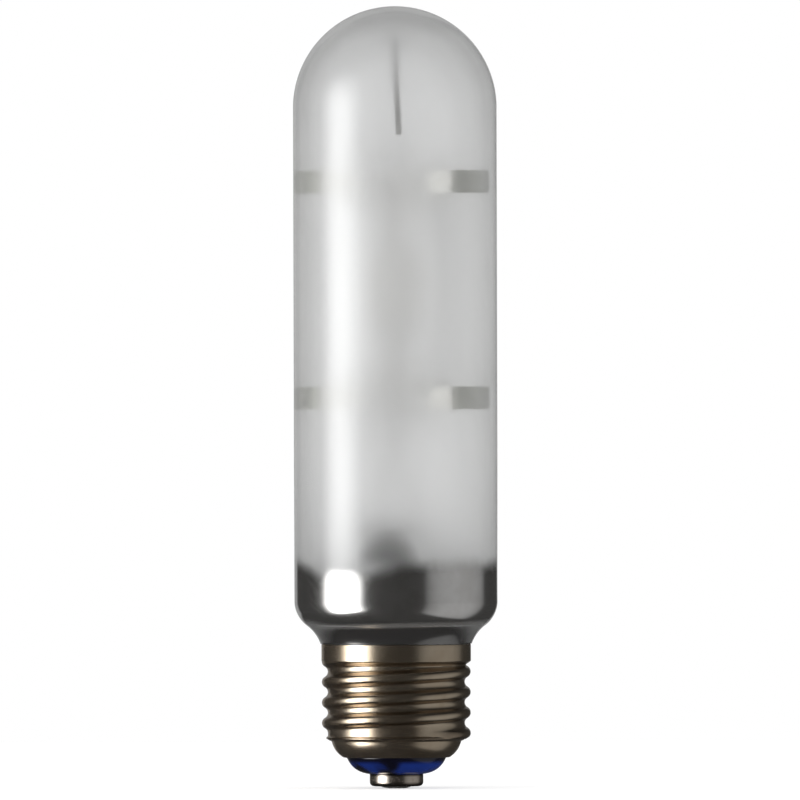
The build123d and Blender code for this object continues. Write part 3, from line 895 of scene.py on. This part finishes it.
# Frame wire and clips
def make_frame_wire():
    """Formed wire: up from the stem lead, behind the shroud and over to the front wall."""
    lead_x, lead_y = 2.8, 1.02
    behind = 11.87
    corners = [
        (lead_x, lead_y, 46.5),
        (lead_x, lead_y, 52.0),
        (0.0, behind, 58.0),
        (0.0, behind, DOME_CENTRE + 5.5),
        (0.0, 3.0, DOME_CENTRE + 12.4),
        (0.0, -9.2, DOME_CENTRE + 10.8),
        (0.35, -15.3, DOME_CENTRE + 2.0),
        (0.7, -16.3, DOME_CENTRE - 4.9),
    ]
    bend_r, wire_r, end_bevel = 3.5, 0.5, 0.08
    path = rounded_path(corners, bend_r, 14)
    mesh = skin("wire_frame", tube_rings(path, wire_r, 24, end_bevel), sharp=50.0)
    wire = wire_finish("nickel_wire", (0.38, 0.375, 0.36), (0.27, 0.265, 0.255))
    add_piece("wire_frame", mesh, "nickel_wire", ["frame_wire"], wire)


def clip_run(radius, start, end, steps):
    """Plan points of a clip at one radius, between two angles from its middle."""
    angles = [CLIP_TURN + start + (end - start) * step / steps for step in range(steps + 1)]
    return [around(radius, angle) for angle in angles]


def eased_corner(before, corner, after):
    """Rounded turn between two runs of a strip."""
    reach, steps = 0.7, 6
    before, corner, after = Vector(before), Vector(corner), Vector(after)
    a = corner + (before - corner).normalized() * reach
    b = corner + (after - corner).normalized() * reach
    spots = []
    for step in range(steps + 1):
        t = step / steps
        spots.append(tuple(a * (1 - t) ** 2 + corner * (2 * t * (1 - t)) + b * t ** 2))
    return spots


def clip_line():
    """Plan line of a spring clip from one wing tip round the shroud to the other."""
    wing = clip_run(WING_R, WING_END, WING_START, 14)
    band = clip_run(CLIP_R, CLIP_OPEN, 360 - CLIP_OPEN, 56)
    other = clip_run(WING_R, -WING_START, -WING_END, 14)
    line = wing[:-1]
    line += eased_corner(wing[-2], wing[-1], band[0])
    line += eased_corner(wing[-1], band[0], band[1])
    line += band[2:-2]
    line += eased_corner(band[-2], band[-1], other[0])
    line += eased_corner(band[-1], other[0], other[1])
    line += other[1:]
    return tidy_path(line)


def make_clip(name, node, middle, finish):
    """One strip bent round the shroud, its ends turned out to spring against the bulb wall."""
    line = clip_line()
    half = CLIP_SHEET / 2
    edge, end_taper = 0.06, 0.35
    rings = []
    last = len(line) - 1
    for index, spot in enumerate(line):
        before = Vector(line[max(index - 1, 0)])
        after = Vector(line[min(index + 1, last)])
        way = (after - before).normalized()
        out = Vector((way.y, -way.x))
        tall = CLIP_WIDTH / 2 - (end_taper if index in (0, last) else 0.0)
        section = [(-half, edge - tall), (edge - half, -tall)]
        section += [(half - edge, -tall), (half, edge - tall)]
        section += [(-o, -h) for o, h in section]
        rings.append([(spot[0] + out.x * o, spot[1] + out.y * o, middle + h) for o, h in section])
    tips = [[(*spot, middle)] for spot in (line[0], line[-1])]
    mesh = skin(name, [tips[0], *rings, tips[1]], sharp=35.0)
    add_piece(name, mesh, "spring_strip", [node], finish)


# Shroud and arc tube
def make_shroud():
    """Quartz sleeve with fire-polished ends."""
    low = LIGHT_CENTRE - SHROUD_LENGTH / 2
    high = low + SHROUD_LENGTH
    half = SHROUD_WALL / 2
    outline = arc((SHROUD_R - half, high - half), half, 0, 180, 10)
    outline += arc((SHROUD_R - half, low + half), half, 180, 360, 10)
    mesh = skin("shroud_sleeve", turned_rings(tidy_path(outline), 128), closed=True, sharp=60.0)
    quartz = clear_glass_finish("quartz", (1.0, 1.0, 1.0), 0.02)
    add_piece("shroud_sleeve", mesh, "quartz", ["shroud_tube"], quartz)


def make_arc_tube():
    """Ceramic arc tube: round-ended body and a slim leg at each end."""
    body_r, leg_r, bore_r, wall = 4.8, 1.5, 0.5, 0.8
    straight_half, end, tip = 3.5, 7.6, 20.0
    bulge, tip_round = 1.0, 0.15
    upper = bowed((body_r, straight_half), (leg_r, end), -bulge, 14)
    upper += [(leg_r, end + 0.3)]
    upper += arc((leg_r - tip_round, tip - tip_round), tip_round, 0, 90, 4) + [(bore_r, tip)]
    chamber = bowed((bore_r, end - wall), (body_r - wall, straight_half), bulge, 10)
    half = tidy_path(upper + chamber)
    mirrored = [(r, -h) for r, h in reversed(half)]
    outline = [(r, LIGHT_CENTRE + h) for r, h in half + mirrored]
    mesh = skin("ceramic_arc_tube", turned_rings(tidy_path(outline), 96), closed=True, sharp=50.0)
    add_piece("ceramic_arc_tube", mesh, "alumina", ["arc_tube"], alumina_finish())


# Scene
def azimuth_point(radius, azimuth, height):
    """Point round the lamp at an angle from the camera's side, towards +X."""
    a = math.radians(azimuth)
    return Vector((radius * math.sin(a), -radius * math.cos(a), height))


def flat_sheet(half, tall):
    """Corners and face of a flat sheet about its own middle."""
    return [(-half, -tall, 0), (half, -tall, 0), (half, tall, 0), (-half, tall, 0)], [(0, 1, 2, 3)]


def add_softbox(name, azimuth, size, centre, light_level, front_level, hot):
    """Upright softbox facing the lamp: its light, and its front as polished surfaces show it."""
    place = azimuth_point(SOFTBOX_AWAY, azimuth, centre)
    turn = (math.radians(90), 0, math.radians(azimuth))
    width, height = size
    light = bpy.data.lights.new(name, "AREA")
    light.shape = "RECTANGLE"
    light.size = width
    light.size_y = height
    light.energy = light_level * math.pi * width * height
    lamp = bpy.data.objects.new(name, light)
    bpy.context.scene.collection.objects.link(lamp)
    lamp.visible_camera = False
    lamp.visible_glossy = False
    lamp.visible_transmission = False
    f = Finish(name + "_front")
    half, tall = width / 2, height / 2
    x, y, _ = f.axes()
    across = x / (half / MM)
    upward = y / (tall / MM)
    falloff = (1 - across * across).most(0.0) ** hot
    falloff = falloff * upward.ease(-1.0, -0.8) * (1 - upward.ease(0.0, 1.0))
    sheet = flat_sheet(half, tall)
    front = add_glow(f, name + "_front", *sheet, falloff, front_level)
    for made in (lamp, front):
        made.location = place
        made.rotation_euler = turn


def add_glow(f, name, spots, faces, colour, strength):
    """Lit surface of the studio, seen only in reflections off polished surfaces."""
    mesh = bpy.data.meshes.new(name)
    mesh.from_pydata(spots, [], faces)
    lit = f.node("Emission", None, {"Color": colour, "Strength": strength})
    mirrored = f.node("LightPath").out("Glossy Depth").least(1.0)
    finish = f.done(f.either(mirrored, f.node("BsdfTransparent"), lit))
    finish.cycles.emission_sampling = "NONE"
    mesh.materials.append(finish)
    card = bpy.data.objects.new(name, mesh)
    bpy.context.scene.collection.objects.link(card)
    card.visible_camera = False
    card.visible_diffuse = False
    card.visible_shadow = False
    return card


def add_card(name, azimuths, elevations, glow):
    """Curved studio card round the lamp."""
    rows, columns = 16, 40
    spots = []
    faces = []
    for row in range(rows + 1):
        e = math.radians(elevations[0] + (elevations[1] - elevations[0]) * row / rows)
        for column in range(columns + 1):
            azimuth = azimuths[0] + (azimuths[1] - azimuths[0]) * column / columns
            level = CARD_CENTRE + CARD_AWAY * math.sin(e)
            spots.append(azimuth_point(CARD_AWAY * math.cos(e), azimuth, level))
    for row in range(rows):
        for column in range(columns):
            a = row * (columns + 1) + column
            faces.append((a, a + 1, a + columns + 2, a + columns + 1))
    card = add_glow(Finish(name), name, spots, faces, glow, 1.0)
    card.visible_transmission = False


def add_floor():
    """Plain white floor that keeps the lamp's shadow."""
    corners, faces = flat_sheet(FLOOR_HALF, FLOOR_HALF)
    mesh = bpy.data.meshes.new("floor")
    mesh.from_pydata(corners, [], faces)
    f = Finish("floor_white")
    path = f.node("LightPath")
    seen = path.out("Is Camera Ray").most(path.out("Is Transmission Ray"))
    paper = f.node("BsdfDiffuse", None, {"Color": (0.8, 0.8, 0.8)})
    lift = f.node("Emission", None, {"Color": (0.5, 0.5, 0.5), "Strength": seen})
    top = f.node("AddShader", None, {0: paper, 1: lift})
    below = f.node("NewGeometry").out("Backfacing")
    mesh.materials.append(f.done(f.either(below, top, f.node("BsdfTransparent"))))
    floor = bpy.data.objects.new("floor", mesh)
    bpy.context.scene.collection.objects.link(floor)
    floor.visible_glossy = False
    floor.visible_shadow = False


def light_world():
    """White round about for the camera, metal and glass; softer light on plain surfaces."""
    f = Finish("studio", "worlds")
    white = f.node("Background", None, {"Color": (1.0, 1.0, 1.0), "Strength": 1.0})
    soft = f.node("Background", None, {"Color": (0.62, 0.62, 0.62), "Strength": 1.0})
    plain = f.node("LightPath").out("Is Diffuse Ray")
    bpy.context.scene.world = f.done(f.either(plain, white, soft), "OutputWorld")


def add_camera():
    """Level camera far from the lamp, as high as its middle, with a slight roll."""
    data = bpy.data.cameras.new("camera")
    data.lens = 763.75
    data.sensor_width = 36.0
    camera = bpy.data.objects.new("camera", data)
    bpy.context.scene.collection.objects.link(camera)
    camera.location = (0.00079, -3.0, 0.0686)
    camera.rotation_euler = (math.radians(90), math.radians(0.148), 0)
    bpy.context.scene.camera = camera


def set_studio():
    """Two tall softboxes, dark cards round the lamp and a grey card behind it."""
    light_world()
    add_floor()
    add_softbox(
        "left_box", azimuth=-64.5, size=(0.95, 1.3), centre=0.09,
        light_level=0.95, front_level=6.7, hot=2.9,
    )
    add_softbox(
        "right_box", azimuth=76.0, size=(1.42, 1.7), centre=-0.12,
        light_level=0.8, front_level=0.36, hot=0.45,
    )
    dark, grey = (0.045, 0.044, 0.043), (0.33, 0.33, 0.33)
    behind = (166, 208)
    add_card("dark_surround", (-152, 166), (-90, 90), dark)
    add_card("grey_back", behind, (-14, 40), grey)
    add_card("dark_above", behind, (40, 90), dark)
    add_card("dark_below", behind, (-90, -14), dark)
    add_camera()
    bpy.context.scene.view_settings.view_transform = "Standard"


def dress_inner_solids():
    """Finishes for the solids of the mount that stay as drawn."""
    clear = clear_glass_finish("clear_glass", (0.97, 0.985, 0.98), 0.03)
    lead = wire_finish("lead_wire", (0.30, 0.29, 0.275), (0.20, 0.19, 0.18))
    tungsten = wire_finish("electrode_metal", (0.28, 0.28, 0.29), (0.18, 0.18, 0.19))
    dress(cement_finish(), "basing_cement")
    dress(clear, "stem_glass", "exhaust_tube")
    dress(lead, "stem_lead_left", "stem_lead_right", "contact_wire", "shell_wire")
    dress(lead, "upper_feed", "lower_feed")
    dress(tungsten, "upper_electrode", "lower_electrode")
    dress(frit_finish(), "upper_seal", "lower_seal")
    dress(getter_finish(), "getter_ring", "getter_stay")


set_studio()
make_bulb()
make_shell()
make_insulator()
make_contact()
make_contact_solder()
make_shell_weld()
make_frame_wire()
spring = spring_finish()
make_clip("upper_spring", "upper_clip", LIGHT_CENTRE + CLIP_SPACING / 2, spring)
make_clip("lower_spring", "lower_clip", LIGHT_CENTRE - CLIP_SPACING / 2, spring)
make_shroud()
make_arc_tube()
dress_inner_solids()
